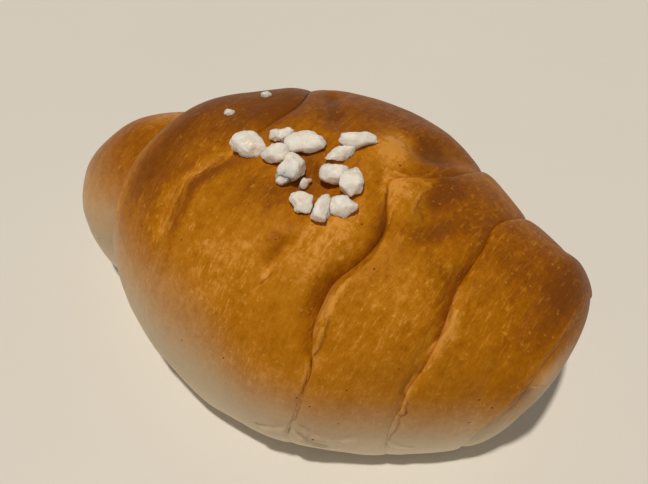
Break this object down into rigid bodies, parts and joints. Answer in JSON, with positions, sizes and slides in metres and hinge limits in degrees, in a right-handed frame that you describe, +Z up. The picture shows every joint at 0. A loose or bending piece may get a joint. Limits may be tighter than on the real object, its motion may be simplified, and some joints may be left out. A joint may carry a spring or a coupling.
{
  "type": "salt bread roll",
  "caption": "Crescent-wound bread roll with a brown crust, creases between its turns, a small lobe at one end and coarse salt crystals on the crown.",
  "frame": {"origin": "centre of the roll's own box, on the surface that it stands on", "axes": "+X along the roll from its small lobe to its other end, +Z up, and the side that shows faces -Y"},
  "size_m": [0.1318, 0.0898, 0.0623],
  "materials": {
    "crust": "baked golden brown crust, satin, paler towards the base",
    "salt": "rough white salt crystal, slightly translucent"
  },
  "bodies": {
    "root": {"bread": "crust", "salt_crystal_01": "salt", "salt_crystal_02": "salt", "salt_crystal_03": "salt", "salt_crystal_04": "salt", "salt_crystal_05": "salt", "salt_crystal_06": "salt", "salt_crystal_07": "salt", "salt_crystal_08": "salt", "salt_crystal_09": "salt", "salt_crystal_10": "salt", "salt_crystal_11": "salt", "salt_crystal_12": "salt"}
  },
  "joints": []
}
